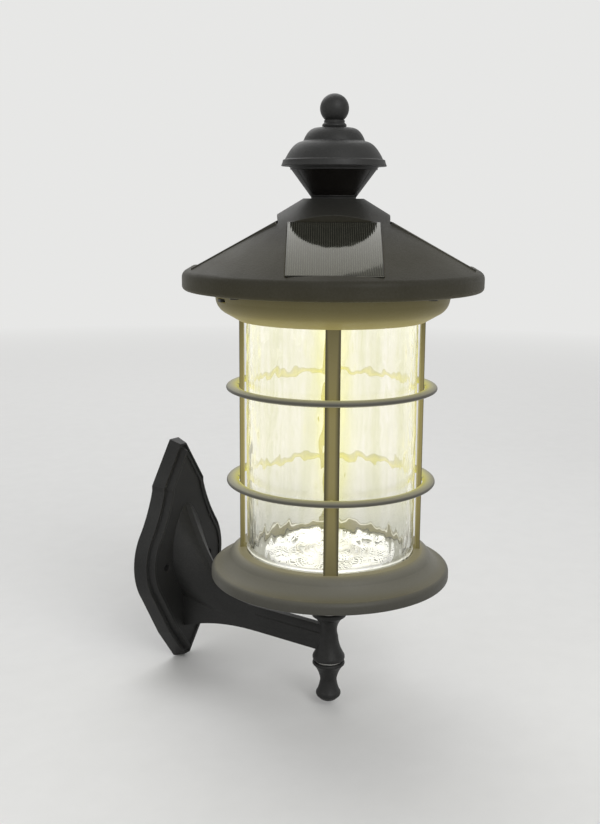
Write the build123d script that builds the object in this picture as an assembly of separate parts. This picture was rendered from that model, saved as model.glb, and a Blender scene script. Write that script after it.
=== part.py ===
"""Solar wall lantern with a motion sensor, in millimetres.

Origin: the middle of the wall plate's back face. The wall is at +Y, the arm reaches towards -Y, +Z is up.
The lantern is drawn with its axis on Z and its front towards -Y, then turned on its post and put out at the
end of the arm.
"""

from build123d import *
import math
import os

# ---- Clearances --------------------------------------------------------------------------------------
GAP = 0.3  # between pieces that move past each other
FIT = 0.1  # radial, between a turning shaft and its bore
SEAT = 0.2  # between a piece and the pocket that holds it

# ---- Where the lantern stands ------------------------------------------------------------------------
REACH = 150.0  # wall to lantern axis
HEAD_TURN = -55.0  # degrees that the lantern stands turned on its post
POST_TOP = -18.0  # height of the post's flange

# ---- Wall plate --------------------------------------------------------------------------------------
PLATE_TOP = 90.5
PLATE_BOTTOM = -90.5
TIP_HALF = 5.0  # half width of the blunt tips
SHOULDER_HALF = 26.0
SHOULDER_TOP = 57.0
SHOULDER_STEP = 4.0  # upright step below the top shoulder
WAIST_HALF = 32.5
WAIST_Z = 35.0
BELLY_HALF = 47.8
BELLY_Z = -3.0
BELLY_ARC_TOP = 18.0
BELLY_ARC_TOP_HALF = 42.0
BELLY_ARC_BOTTOM = -31.0
BELLY_ARC_BOTTOM_HALF = 40.5
FOOT_HALF = 22.5  # lower shoulder
FOOT_Z = -65.0
FLANK_DEPTH = 10.0  # sloped outer flank, up to the first ridge
FLANK_INSET = 3.0
GROOVE_DEPTH = 1.2  # groove between the two ridges
GROOVE_IN = 4.4
RIDGE_IN = 6.2
RIDGE_DEPTH = 14.0  # second ridge
RIDGE_INSET = 2.2
FACE_IN = 10.4  # sunk field inside the second ridge
FACE_DEPTH = 13.0
PLATE_WALL = 2.6
WALL_HOLE_R = 3.0
WALL_HOLE_X = 25.0
WALL_HOLE_Z = -7.5
WALL_BOSS_R = 6.5
WALL_BOSS_SINK = 1.0  # bosses short of the wall, so that only the rim touches it

# ---- Arm and post ------------------------------------------------------------------------------------
FLANGE_R = 12.9
FLANGE_H = 3.6
NECK_R = 6.8
NECK_DROP = 19.0  # flange top to the narrowest point
BULGE_R = 11.9
POST_H = 37.0  # flange top to the parting line
BEAM_DROP = 11.6  # flange top to the beam's top edge
BEAM_H = 18.6
BEAM_HALF = 5.3
BEAD_H = 5.0  # rounded bead along the beam's top edge
BEAD_GROOVE = 0.9
LEAF_HALF = 18.0  # widest half width of the foot against the plate
LEAF_RISE = 69.4  # foot's top above the beam's top edge
LEAF_DROP = 12.8  # foot's bottom below the beam's bottom edge
FLARE = 73.0  # length over which the beam swells into the foot
ARM_SCREW_R = 2.5
ARM_SCREW_L = 15.0
ARM_SCREW_HEAD_R = 4.6
ARM_SCREW_HEAD_H = 3.0
ARM_SCREW_ZS = (4.0, -40.0)

# ---- Stem bolt and lower finial ----------------------------------------------------------------------
STEM_R = 4.0
STEM_HEAD_AF = 13.0
STEM_HEAD_H = 5.3
WASHER_T = 1.2
FINIAL_H = 30.5
FINIAL_WAIST_R = 6.1
FINIAL_BULB_R = 9.0
STEM_END = 8.0  # solid finial below the stem's end

# ---- Base dish ---------------------------------------------------------------------------------------
HUB_R = 14.0
HUB_H = 28.0  # hub's underside to the rim's underside
DISH_OUT = 25.0  # rim beyond the glass
DISH_RIM_H = 6.0
DISH_RISE = 14.0  # rim to the lip that holds the glass
DISH_WALL = 2.6
LIP_W = 5.5  # flat lip around the glass
STEM_SEAT = 5.6  # thickness of the hub under the stem bolt's head
PAN_SCREW_IN = 14.0  # inside the rim
PAN_SCREW_R = 1.5
PAN_SCREW_L = 8.0
PAN_SCREW_HEAD_H = 1.6
PAN_BOSS_R = 3.5

# ---- Glass and its gaskets ---------------------------------------------------------------------------
GLASS_R = 60.0
GLASS_WALL = 3.0
GLASS_SHOWN = 163.5  # height between the dish's lip and the cup
GLASS_TUCK = 4.0  # how far each end goes into its groove
GASKET_T = 1.5

# ---- Cage --------------------------------------------------------------------------------------------
BAR_W = 10.0
BAR_T = 3.0
BAR_OFF = 1.2  # bar's inner face off the glass
BAR_TUCK = 4.0
RING_OFF = 0.8  # ring off the bars' outer face
RING_W = 8.6
RING_H = 4.4
RING_FIRST = 50.3  # lower ring above the dish's lip
RING_PITCH = 66.3
RIVET_R = 1.5
BAR_SCREW_R = 1.0
BAR_SCREW_BITE = 4.0  # how far each screw goes into the bar
BAR_SCREW_HEAD_R = 2.0
BAR_SCREW_HEAD_H = 1.4

# ---- Reflector ---------------------------------------------------------------------------------------
REFLECTOR_R = 45.5
REFLECTOR_T = 1.0
REFLECTOR_RINGS = 6
REFLECTOR_STEP = 1.2
REFLECTOR_SINK = 1.5  # its edge below the dish's lip
REFLECTOR_SCREW_R = 1.2
CARRIER_T = 1.4
REFLECTOR_SCREW_PCR = 29.0

# ---- Cup under the roof ------------------------------------------------------------------------------
CUP_H = 20.0
CUP_TOP_OUT = 22.0  # top edge beyond the glass
CUP_BEND_IN = 8.0  # bend of the cup inside its top edge
CUP_WALL = 2.6
CUP_LEAN = 1.6  # lean of its upper wall
CUP_SHOULDER_H = 14.5  # height of the bend's upper end
CUP_SHELF_H = 8.4  # thickness over the glass's groove
CUP_FLANGE_R = 95.4
CUP_FLANGE_T = 2.4
LENS_R = 20.0
LENS_LIP = 2.0
LENS_DROP = 6.0
LENS_WALL = 1.6
LED_BOARD_R = 28.0
BOARD_T = 1.6
LED_SIZE = 5.0
LED_H = 1.0
LED_COUNT = 6
LED_PCR = 10.0

# ---- Mode switch -------------------------------------------------------------------------------------
SWITCH_AZIMUTH = -67.0  # degrees to the left of the lantern's front
SWITCH_Z = 15.2  # above the cup's underside
SLOT_L = 16.0
SLOT_H = 2.8
KNOB_L = 5.0
KNOB_H = 2.2
KNOB_PROUD = 1.3
SWITCH_BODY_L = 22.0
SWITCH_BODY_H = 6.0
SWITCH_BODY_D = 7.0
SWITCH_BASE = 3.0

# ---- Roof and panels ---------------------------------------------------------------------------------
ROOF_R = 103.0
ROOF_TOP_R = 20.5
ROOF_SLOPE = 31.0  # degrees
ROOF_BAND = 11.6  # height of the upright rim
ROOF_ROUND = 3.0  # rounding of the rim's two edges
ROOF_WALL = 2.8
ROOF_DROP = 0.5  # rim's underside above the cup's top
PANEL_W = 60.0
PANEL_L = 64.0  # down the slope
PANEL_T = 2.6
PANEL_EDGE = 0.4
PANEL_SLOPE = 29.0  # degrees
PANEL_IN = 37.4  # axis to the panel's upper edge
PANEL_DEEP = 5.9  # panel below the cone at its upper edge
POCKET_DRAFT = 1.7  # lean of the pocket's upper wall
POCKET_H = 26.0  # cut above the panel's face, clear of the cone
ROOF_SCREW_R = 1.6
ROOF_SCREW_L = 10.0
ROOF_SCREW_HEAD_R = 3.0
ROOF_SCREW_HEAD_H = 1.8
ROOF_BOSS_R = 4.0

# ---- Battery and electronics -------------------------------------------------------------------------
CELL_R = 9.2
CELL_L = 65.0
TRAY_T = 2.0
TRAY_LIFT = 5.5  # tray above the cup's floor
TRAY_WALL_H = 8.0
BOARD_LIFT = 3.0  # control board above the cells
TRAY_POST_R = 2.5
TRAY_FOOT = 8.0  # square web between a post and the tray
TRAY_FOOT_IN = 2.0
CONTROL_MARGIN = 3.0  # control board past the posts' axes
SOCKET_X = -24.0
SOCKET_SIZE = (8.0, 22.0, 6.0)
CHIP_PLACE = (6.0, 8.0)
CHIP_SIZE = (10.0, 8.0, 1.6)
COIL_PLACE = (24.0, -8.0)
COIL_R = 5.0
COIL_H = 5.0

# ---- Sensor head -------------------------------------------------------------------------------------
HOUSING_H = 21.2
HOUSING_TOP_R = 30.4
HOUSING_BASE_R = 14.6
HOUSING_WALL = 2.2
WINDOW_TOP_HALF = 24.0
WINDOW_BASE_HALF = 13.6
WINDOW_TOP_GAP = 2.4
WINDOW_T = 1.6
PIR_R = 4.6
PIR_H = 4.5
PIR_BOARD_W = 20.0
PIR_BOARD_H = 12.0
PIR_BOARD_OFF = 5.0  # board's back off the tie rod's axis

# ---- Cap, ball and tie rod ---------------------------------------------------------------------------
CAP_R = 35.6
CAP_H = 25.2
CAP_TOP_R = 12.3
CAP_SHOULDER_R = 30.6
CAP_WALL = 3.0
COLLAR_R = 8.2
COLLAR_H = 4.0
BALL_R = 9.7
BALL_SINK = 1.2  # how far the ball's round would reach into the collar
TIE_R = 2.5
TIE_NUT_AF = 8.0
TIE_NUT_H = 4.0

# ---- Heights worked out from the sizes above ---------------------------------------------------------
POST_END = POST_TOP - POST_H
HUB_Z = POST_TOP + GAP + WASHER_T
RIM_Z = HUB_Z + HUB_H
LIP_Z = RIM_Z + DISH_RIM_H + DISH_RISE
GROOVE_TUCK = GLASS_TUCK + GASKET_T
DISH_R = GLASS_R + DISH_OUT
PAN_SCREW_PCR = DISH_R - PAN_SCREW_IN
DISH_LEDGE_R = GLASS_R - GLASS_WALL - 4
CUP_Z = LIP_Z + GLASS_SHOWN
CUP_TOP_Z = CUP_Z + CUP_H
CUP_FLOOR_Z = CUP_Z + CUP_WALL
ROOF_Z = CUP_TOP_Z + ROOF_DROP
ROOF_RISE = math.tan(math.radians(ROOF_SLOPE))
EAVES_Z = ROOF_Z + ROOF_BAND
ROOF_TOP_Z = EAVES_Z + (ROOF_R - ROOF_TOP_R) * ROOF_RISE
HOUSING_Z = ROOF_TOP_Z
CAP_Z = HOUSING_Z + HOUSING_H
COLLAR_Z = CAP_Z + CAP_H
BALL_Z = COLLAR_Z + COLLAR_H + BALL_R - BALL_SINK
BAR_R = GLASS_R + BAR_OFF
RING_IN = BAR_R + BAR_T + RING_OFF
RING_OUT = RING_IN + RING_W
CUP_TOP_R = GLASS_R + CUP_TOP_OUT
CUP_BEND_R = CUP_TOP_R - CUP_BEND_IN
CUP_SHOULDER_R = CUP_TOP_R - CUP_LEAN
ROOF_SCREW_PCR = (CUP_TOP_R + CUP_FLANGE_R) / 2
RING_HEIGHTS = (LIP_Z + RING_FIRST, LIP_Z + RING_FIRST + RING_PITCH)
QUARTERS = {"front": 0.0, "right": 90.0, "back": 180.0, "left": 270.0}


# ---- Drawing helpers ---------------------------------------------------------------------------------
def outline(start, *steps):
    """A closed face. Each step is the next corner, or a pair (point on an arc, the arc's end)."""
    edges = []
    here = start
    for step in steps:
        if isinstance(step[0], tuple):
            edges.append(ThreePointArc(here, step[0], step[1]))
            here = step[1]
        else:
            edges.append(Line(here, step))
            here = step
    if here != start:
        edges.append(Line(here, start))
    return make_face(Curve() + edges)


def turned(start, *steps):
    """A piece turned about Z. Points are (radius, height)."""
    return revolve(Plane.XZ * outline(start, *steps), Axis.Z)


def rod(radius, low, high):
    """An upright cylinder between two heights."""
    return Pos(0, 0, low) * extrude(Circle(radius), high - low)


def tube(outer, inner, low, high):
    """An upright tube between two heights."""
    return rod(outer, low, high) - rod(inner, low - 1, high + 1)


def hexagon(across_flats, low, high):
    """An upright hexagonal prism between two heights."""
    return Pos(0, 0, low) * extrude(RegularPolygon(across_flats / 2, 6, major_radius=False), high - low)


def ring_of(piece, count, first=0.0):
    """Copies of a piece, evenly spaced about Z."""
    return [Rot(0, 0, first + k * 360 / count) * piece for k in range(count)]


def cone_z(radius):
    """Height of the roof's cone at a radius."""
    return ROOF_TOP_Z - (radius - ROOF_TOP_R) * ROOF_RISE


# ---- Wall plate, arm and their screws ----------------------------------------------------------------
def plate_face(inset):
    """Front view of the wall plate, drawn in by an inset."""
    half = outline(
        (0, PLATE_TOP),
        (TIP_HALF, PLATE_TOP),
        (SHOULDER_HALF, SHOULDER_TOP),
        (SHOULDER_HALF, SHOULDER_TOP - SHOULDER_STEP),
        ((WAIST_HALF, WAIST_Z), (BELLY_ARC_TOP_HALF, BELLY_ARC_TOP)),
        ((BELLY_HALF, BELLY_Z), (BELLY_ARC_BOTTOM_HALF, BELLY_ARC_BOTTOM)),
        (FOOT_HALF, FOOT_Z),
        (TIP_HALF, PLATE_BOTTOM),
        (0, PLATE_BOTTOM),
    )
    whole = half + mirror(half, Plane.YZ)
    return whole if inset == 0 else offset(whole, -inset, kind=Kind.INTERSECTION)


def plate_slab(inset, near, far, slope_in=0.0):
    """The plate's outline as a slab between two depths, its sides sloping in by an amount."""
    face = Pos(0, -near, 0) * (Plane.XZ * plate_face(inset))
    return extrude(face, far - near, taper=math.degrees(math.atan2(slope_in, far - near)))


def wall_plate():
    """Shield-shaped plate: sloped flank, ridge, groove, second ridge, sunk field, and a hollow back."""
    plate = plate_slab(0, 0, FLANK_DEPTH, FLANK_INSET)
    plate -= plate_slab(GROOVE_IN, FLANK_DEPTH - GROOVE_DEPTH, FLANK_DEPTH + 1)
    plate += plate_slab(RIDGE_IN, FLANK_DEPTH - GROOVE_DEPTH, RIDGE_DEPTH, RIDGE_INSET)
    plate -= plate_slab(FACE_IN, FACE_DEPTH, RIDGE_DEPTH + 1)
    plate -= plate_slab(FLANK_INSET + PLATE_WALL, -1, FLANK_DEPTH - GROOVE_DEPTH - PLATE_WALL)
    plate -= plate_slab(FACE_IN + 0.6, -1, FACE_DEPTH - PLATE_WALL)
    for x in (-WALL_HOLE_X, WALL_HOLE_X):
        hole = Pos(x, 0, WALL_HOLE_Z) * Rot(90, 0, 0)
        plate += hole * rod(WALL_BOSS_R, WALL_BOSS_SINK, FACE_DEPTH - PLATE_WALL)
        plate -= hole * rod(WALL_HOLE_R, -1, RIDGE_DEPTH + 1)
    for z in ARM_SCREW_ZS:
        hole = Pos(0, 0, z) * Rot(90, 0, 0)
        plate -= hole * rod(ARM_SCREW_R + FIT, -1, RIDGE_DEPTH + 1)
    return plate


def arm_section(distance, top, half, belly, knee, low_half, bottom):
    """Cross-section of the arm at a distance from the wall: leaf-shaped above, narrow below."""
    crest = BEAM_HALF / 2
    section = outline(
        (crest, top),
        ((half, belly), (low_half, knee)),
        (low_half, bottom),
        (-low_half, bottom),
        (-low_half, knee),
        ((-half, belly), (-crest, top)),
    )
    return Pos(0, -distance, 0) * (Plane.XZ * section)


def flare_section(share):
    """The arm's section along the flare: 0 at the beam, 1 at the wall plate."""
    beam_top = POST_TOP - BEAM_DROP
    beam_low = beam_top - BEAM_H
    distance = FACE_DEPTH + FLARE * (1 - share)
    top = beam_top + LEAF_RISE * share**2.6
    half = BEAM_HALF + 0.3 + (LEAF_HALF - BEAM_HALF) * share**2.4
    bottom = beam_low - LEAF_DROP * share**2.2
    knee = beam_low + BEAM_H * 0.25 + BEAM_H * 0.5 * share**2
    belly = knee + (top - knee) * 0.4
    return arm_section(distance, top, half, belly, knee, BEAM_HALF + share, bottom)


def post():
    """Turned post at the arm's end: flange, cove, neck and the bulge above the parting line."""
    cove_z = POST_TOP - FLANGE_H
    neck_z = POST_TOP - NECK_DROP
    return turned(
        (0, POST_TOP),
        (FLANGE_R - 0.8, POST_TOP),
        ((FLANGE_R, POST_TOP - FLANGE_H / 2), (FLANGE_R - 0.8, cove_z)),
        ((NECK_R + 1.6, cove_z - 3.4), (NECK_R, neck_z)),
        ((NECK_R + 1.9, POST_END + 9.0), (BULGE_R - 0.4, POST_END + 3.4)),
        ((BULGE_R, POST_END + 1.6), (BULGE_R - 0.4, POST_END)),
        (0, POST_END),
    )


def bracket_arm():
    """Level beam with a beaded top edge, swelling into a leaf-shaped foot, and the post at its end."""
    flare = loft([flare_section(k / 5) for k in range(6)])
    beam = extrude(flare_section(0), REACH - FACE_DEPTH - FLARE)
    bead_z = POST_TOP - BEAM_DROP - BEAD_H
    line_y = -(FACE_DEPTH + FLARE + REACH) / 2
    line_l = REACH - FACE_DEPTH - FLARE + 10
    for side in (-1, 1):
        groove = Box(2 * BEAD_GROOVE, line_l, 1.4)
        beam -= Pos(side * (BEAM_HALF + 0.3), line_y, bead_z) * groove
    arm = flare + beam + Pos(0, -REACH, 0) * post()
    arm -= Pos(0, -REACH, 0) * rod(STEM_R + FIT, POST_END - 1, POST_TOP + 1)
    for z in ARM_SCREW_ZS:
        arm -= Pos(0, 0, z) * Rot(90, 0, 0) * rod(ARM_SCREW_R, 0, ARM_SCREW_L + FACE_DEPTH - PLATE_WALL)
    return arm


def arm_screws():
    """Two screws from the hollow back of the plate into the arm's foot."""
    seat = FACE_DEPTH - PLATE_WALL
    screw = rod(ARM_SCREW_R, seat, seat + ARM_SCREW_L) + rod(
        ARM_SCREW_HEAD_R, seat - ARM_SCREW_HEAD_H, seat
    )
    return [Pos(0, 0, z) * Rot(90, 0, 0) * screw for z in ARM_SCREW_ZS]


# ---- What the head turns on --------------------------------------------------------------------------
def stem_bolt():
    """Bolt from inside the dish's hub, down through the post, into the lower finial."""
    low = POST_END - FINIAL_H + STEM_END
    seat = HUB_Z + STEM_SEAT
    return rod(STEM_R, low, seat) + hexagon(STEM_HEAD_AF, seat, seat + STEM_HEAD_H)


def pivot_washer():
    """Plain washer between the dish's hub and the post's flange."""
    return tube(FLANGE_R - 1.5, STEM_R, POST_TOP + GAP, HUB_Z)


def finial_washer():
    """Washer between the post and the lower finial."""
    return tube(BULGE_R - 2, STEM_R + FIT, POST_END - GAP - WASHER_T, POST_END - GAP)


def lower_finial():
    """Turned nut that closes the post: half bulge, waist and bulb."""
    top = POST_END - 2 * GAP - WASHER_T
    low = top - FINIAL_H
    nut = turned(
        (0, top),
        (BULGE_R - 0.5, top),
        ((BULGE_R, top - 1.2), (BULGE_R - 0.8, top - 2.6)),
        ((FINIAL_WAIST_R + 1.2, top - 9.0), (FINIAL_WAIST_R, top - FINIAL_H * 0.47)),
        ((FINIAL_WAIST_R + 0.7, top - FINIAL_H * 0.6), (FINIAL_BULB_R - 0.7, top - FINIAL_H * 0.74)),
        ((FINIAL_BULB_R, low + FINIAL_H * 0.15), (FINIAL_BULB_R - 1.6, low + 2.6)),
        ((FINIAL_BULB_R * 0.6, low + 0.8), (FINIAL_BULB_R * 0.3, low)),
        (0, low),
    )
    return nut - rod(STEM_R + FIT, low + STEM_END - 3, top + 1)


# ---- Base dish and what it holds ---------------------------------------------------------------------
def base_dish():
    """Upper shell of the dish: rim, ogee shoulder, and the lip and ledge that hold the glass."""
    lip_r = GLASS_R + LIP_W + 0.6
    rim_top = RIM_Z + DISH_RIM_H
    ledge_z = LIP_Z - GROOVE_TUCK
    skirt_r = DISH_R - DISH_WALL
    dish = turned(
        (skirt_r, RIM_Z),
        (DISH_R - 0.9, RIM_Z),
        ((DISH_R - 0.2, RIM_Z + 0.5), (DISH_R, RIM_Z + 1.5)),
        (DISH_R, rim_top - 1),
        ((DISH_R - 0.7, rim_top + 0.9), (DISH_R - 3.2, rim_top + 2.2)),
        ((lip_r + 9.6, rim_top + 5), (lip_r + 6, LIP_Z - 5)),
        ((lip_r + 3.9, LIP_Z - 1.8), (lip_r, LIP_Z)),
        (GLASS_R + SEAT, LIP_Z),
        (GLASS_R + SEAT, ledge_z),
        (DISH_LEDGE_R, ledge_z),
        (DISH_LEDGE_R, ledge_z - DISH_WALL),
        (lip_r, ledge_z - DISH_WALL),
        (lip_r + 9, rim_top + 5 - DISH_WALL),
        (DISH_R - 4.5, rim_top + 2 - DISH_WALL),
        (skirt_r, rim_top - DISH_WALL),
    )
    boss = Pos(0, -PAN_SCREW_PCR, 0) * rod(PAN_BOSS_R, RIM_Z + DISH_WALL, rim_top + 5.5)
    for piece in ring_of(boss, 4, 45):
        dish += piece
    for cut in ring_of(bar_pocket(LIP_Z - BAR_TUCK, LIP_Z + 1), 4):
        dish -= cut
    for cut in ring_of(lower_bar_screw(), 4):
        dish -= cut
    for cut in ring_of(pan_screw(), 4, 45):
        dish -= cut
    return dish


def base_pan():
    """Underside of the dish: hub, domed floor and the flat edge inside the rim."""
    edge_r = DISH_R - DISH_WALL - SEAT
    flat_r = DISH_R * 0.72
    seat = HUB_Z + STEM_SEAT
    pan = turned(
        (STEM_R, HUB_Z),
        (HUB_R, HUB_Z),
        (HUB_R + 1, HUB_Z + 6),
        ((DISH_R * 0.42, RIM_Z - 4.5), (flat_r, RIM_Z)),
        (edge_r, RIM_Z),
        (edge_r, RIM_Z + DISH_WALL),
        (flat_r, RIM_Z + DISH_WALL),
        ((DISH_R * 0.42 - 2, RIM_Z - 4.5 + DISH_WALL), (HUB_R - 2, HUB_Z + 9)),
        (HUB_R - 3, seat),
        (STEM_R, seat),
    )
    for cut in ring_of(pan_screw(), 4, 45):
        pan -= cut
    return pan


def pan_screw():
    """One screw from below through the pan into the dish."""
    shank = rod(PAN_SCREW_R, RIM_Z, RIM_Z + PAN_SCREW_L)
    head = rod(2 * PAN_SCREW_R, RIM_Z - PAN_SCREW_HEAD_H, RIM_Z)
    return Pos(0, -PAN_SCREW_PCR, 0) * (shank + head)


def reflector():
    """Bright stepped reflector plate with a rolled edge."""
    top = LIP_Z - REFLECTOR_SINK
    low = top - REFLECTOR_STEP - REFLECTOR_T
    width = REFLECTOR_R / REFLECTOR_RINGS
    upper = [(0, top - REFLECTOR_STEP)]
    for k in range(REFLECTOR_RINGS):
        upper.append(((k + 0.85) * width, top))
        upper.append(((k + 1) * width, top - REFLECTOR_STEP))
    plate = turned(*upper, (REFLECTOR_R, low), (0, low))
    plate += tube(REFLECTOR_R + 1.0, REFLECTOR_R - 1.2, low, top)
    for cut in ring_of(reflector_screw(), 3, 30):
        plate -= cut
    return plate


def reflector_screw():
    """One screw through the reflector into its carrier."""
    top = LIP_Z - REFLECTOR_SINK
    shank = rod(REFLECTOR_SCREW_R, top - REFLECTOR_STEP - REFLECTOR_T - CARRIER_T, top)
    return Pos(REFLECTOR_SCREW_PCR, 0, 0) * (shank + rod(2 * REFLECTOR_SCREW_R, top, top + 0.8))


def reflector_carrier():
    """Ring plate under the reflector, with a skirt that stands on the dish's ledge."""
    top = LIP_Z - REFLECTOR_SINK - REFLECTOR_STEP - REFLECTOR_T
    inner = DISH_LEDGE_R + SEAT
    outer = GLASS_R - GLASS_WALL - 1
    plate = tube(outer, REFLECTOR_SCREW_PCR - 4, top - CARRIER_T, top)
    plate += tube(outer, inner, LIP_Z - GROOVE_TUCK, top)
    for cut in ring_of(reflector_screw(), 3, 30):
        plate -= cut
    return plate


def gasket(low):
    """Flat rubber ring under an end of the glass."""
    return tube(GLASS_R, GLASS_R - GLASS_WALL, low, low + GASKET_T)


def glass_cylinder():
    """The glass, from gasket to gasket."""
    return tube(GLASS_R, GLASS_R - GLASS_WALL, LIP_Z - GLASS_TUCK, CUP_Z + GLASS_TUCK)


# ---- Cage --------------------------------------------------------------------------------------------
def bar_pocket(low, high):
    """The pocket for one end of a cage bar."""
    depth = BAR_T + BAR_OFF + 1 + SEAT
    middle = GLASS_R - 1 + depth / 2
    box = Box(BAR_W + 2 * SEAT, depth, high - low)
    return Pos(0, -middle, (low + high) / 2) * box


def bar_screw(end, seat):
    """One small screw into a bar's end, its head on a seat above or below."""
    away = math.copysign(1, seat - end)
    tip = end - away * BAR_SCREW_BITE
    head = seat + away * BAR_SCREW_HEAD_H
    shank = rod(BAR_SCREW_R, min(tip, seat), max(tip, seat))
    cap = rod(BAR_SCREW_HEAD_R, min(seat, head), max(seat, head))
    return Pos(0, -(BAR_R + BAR_T / 2), 0) * (shank + cap)


def lower_bar_screw():
    """The screw at the foot of a bar, from inside the dish."""
    return bar_screw(LIP_Z - BAR_TUCK, LIP_Z - GROOVE_TUCK - DISH_WALL)


def upper_bar_screw():
    """The screw at the head of a bar, from inside the cup."""
    return bar_screw(CUP_Z + BAR_TUCK, CUP_Z + CUP_SHELF_H)


def cage_bar():
    """Flat strip in front of the glass, drilled for its two rivets and its two end screws."""
    low = LIP_Z - BAR_TUCK
    high = CUP_Z + BAR_TUCK
    strip = Pos(0, -(BAR_R + BAR_T / 2), (low + high) / 2) * Box(BAR_W, BAR_T, high - low)
    strip = fillet(strip.edges().filter_by(Axis.Z), 0.8)
    for z in RING_HEIGHTS:
        strip -= rivet(z)
    return strip - lower_bar_screw() - upper_bar_screw()


def cage_ring(z):
    """Hoop of flattened oval section around the four bars."""
    side = RING_H * 0.3
    hoop = turned(
        (RING_IN + 0.9, z - side),
        ((RING_IN, z), (RING_IN + 0.9, z + side)),
        (((RING_IN + RING_OUT) / 2, z + RING_H / 2), (RING_OUT - 0.9, z + side)),
        ((RING_OUT, z), (RING_OUT - 0.9, z - side)),
        (((RING_IN + RING_OUT) / 2, z - RING_H / 2), (RING_IN + 0.9, z - side)),
    )
    for cut in ring_of(rivet(z), 4):
        hoop -= cut
    return hoop


def rivet(z):
    """One rivet through a bar and into a ring."""
    return Pos(0, -BAR_R - 0.6, z) * Rot(90, 0, 0) * rod(RIVET_R, 0, RING_IN + 3 - BAR_R)


# ---- Cup under the roof and the lamp -----------------------------------------------------------------
def cup_wall_r(height):
    """Outer radius of the cup's upper wall, at a height above its underside."""
    return CUP_SHOULDER_R + CUP_LEAN * (height - CUP_SHOULDER_H) / (CUP_H - CUP_SHOULDER_H)


def lower_cup():
    """Cup that holds the glass, with the flange that closes the underside of the roof."""
    base_r = GLASS_R + LIP_W
    outer = turned(
        (0, CUP_Z),
        (base_r - 0.6, CUP_Z),
        (CUP_BEND_R, CUP_Z + 5.2),
        ((CUP_BEND_R + 4.2, CUP_Z + 8.8), (CUP_SHOULDER_R, CUP_Z + CUP_SHOULDER_H)),
        (CUP_TOP_R, CUP_TOP_Z),
        (CUP_TOP_R, CUP_TOP_Z + ROOF_DROP),
        (CUP_FLANGE_R, CUP_TOP_Z + ROOF_DROP),
        (CUP_FLANGE_R, CUP_TOP_Z + ROOF_DROP + CUP_FLANGE_T),
        (0, CUP_TOP_Z + ROOF_DROP + CUP_FLANGE_T),
    )
    inner_r = GLASS_R - GLASS_WALL - 1.5
    hollow = turned(
        (0, CUP_FLOOR_Z),
        (inner_r, CUP_FLOOR_Z),
        (inner_r, CUP_Z + CUP_SHELF_H),
        (CUP_BEND_R - 2, CUP_Z + CUP_SHELF_H),
        ((CUP_BEND_R + 2.2, CUP_Z + 10.6), (CUP_SHOULDER_R - CUP_WALL, CUP_Z + CUP_SHOULDER_H)),
        (CUP_TOP_R - CUP_WALL, CUP_TOP_Z),
        (CUP_TOP_R - CUP_WALL, CUP_TOP_Z + 5),
        (0, CUP_TOP_Z + 5),
    )
    cup = outer - hollow
    cup -= tube(GLASS_R + SEAT, GLASS_R - GLASS_WALL - SEAT, CUP_Z - 1, CUP_Z + GROOVE_TUCK)
    cup -= rod(LENS_R + SEAT, CUP_Z - 1, CUP_FLOOR_Z + 1)
    cup -= rod(LENS_R + LENS_LIP + SEAT, CUP_Z + 1, CUP_FLOOR_Z + 1)
    for cut in ring_of(bar_pocket(CUP_Z - 1, CUP_Z + BAR_TUCK), 4):
        cup -= cut
    for cut in ring_of(upper_bar_screw(), 4):
        cup -= cut
    for cut in ring_of(roof_screw(), 4, 45):
        cup -= cut
    slot = Box(SLOT_L, 12, SLOT_H)
    cup -= at_switch() * Pos(0, -CUP_TOP_R, 0) * slot
    for cut in ring_of(led_screw(), 3, 15):
        cup -= cut
    return cup


def dome(radius, drop, rim_z):
    """A spherical cap that hangs below a height."""
    ball_r = (radius**2 + drop**2) / (2 * drop)
    ball = Pos(0, 0, rim_z - drop + ball_r) * Sphere(ball_r)
    return ball & rod(radius, rim_z - drop - 1, rim_z)


def led_lens():
    """Domed lens in the middle of the cup's floor."""
    rim_z = CUP_Z + 1
    edge = LENS_R - LENS_WALL
    flange = tube(LENS_R + LENS_LIP, edge, rim_z, CUP_FLOOR_Z)
    return flange + dome(LENS_R, LENS_DROP, rim_z) - dome(edge, LENS_DROP - LENS_WALL, rim_z)


def led_board():
    """Round board on the cup's floor, its LEDs looking down into the lens."""
    board = rod(LED_BOARD_R, CUP_FLOOR_Z, CUP_FLOOR_Z + BOARD_T)
    for cut in ring_of(led_screw(), 3, 15):
        board -= cut
    return board


def led_screw():
    """One screw that holds the LED board to the cup's floor."""
    top = CUP_FLOOR_Z + BOARD_T
    screw = rod(1.2, CUP_Z + 1, top) + rod(2.2, top, top + 1.5)
    return Pos(LED_BOARD_R - 3, 0, 0) * screw


def led_emitters():
    """LEDs under the board."""
    led = Pos(LED_PCR, 0, CUP_FLOOR_Z - LED_H / 2) * Box(LED_SIZE, LED_SIZE, LED_H)
    return ring_of(led, LED_COUNT)


# ---- Mode switch -------------------------------------------------------------------------------------
def at_switch():
    """Place of the mode switch: its own X runs along the slot, its -Y outwards."""
    return Rot(0, 0, SWITCH_AZIMUTH) * Pos(0, 0, CUP_Z + SWITCH_Z)


def switch_face():
    """Distance from the axis to the switch body's outer face, just inside the cup's wall."""
    inner = cup_wall_r(SWITCH_Z - SWITCH_BODY_H / 2) - CUP_WALL
    return math.sqrt(inner**2 - (SWITCH_BODY_L / 2) ** 2) - SEAT


def mode_switch():
    """Slider with a small knob that stands out of the slot."""
    tip = cup_wall_r(SWITCH_Z) + KNOB_PROUD
    root = switch_face() - SWITCH_BODY_D + SWITCH_BASE
    knob = Pos(0, -(tip + root) / 2, 0) * Box(KNOB_L, tip - root, KNOB_H)
    knob = fillet(knob.faces().sort_by(Axis.Y)[0].edges(), 0.5)
    return at_switch() * knob


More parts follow.
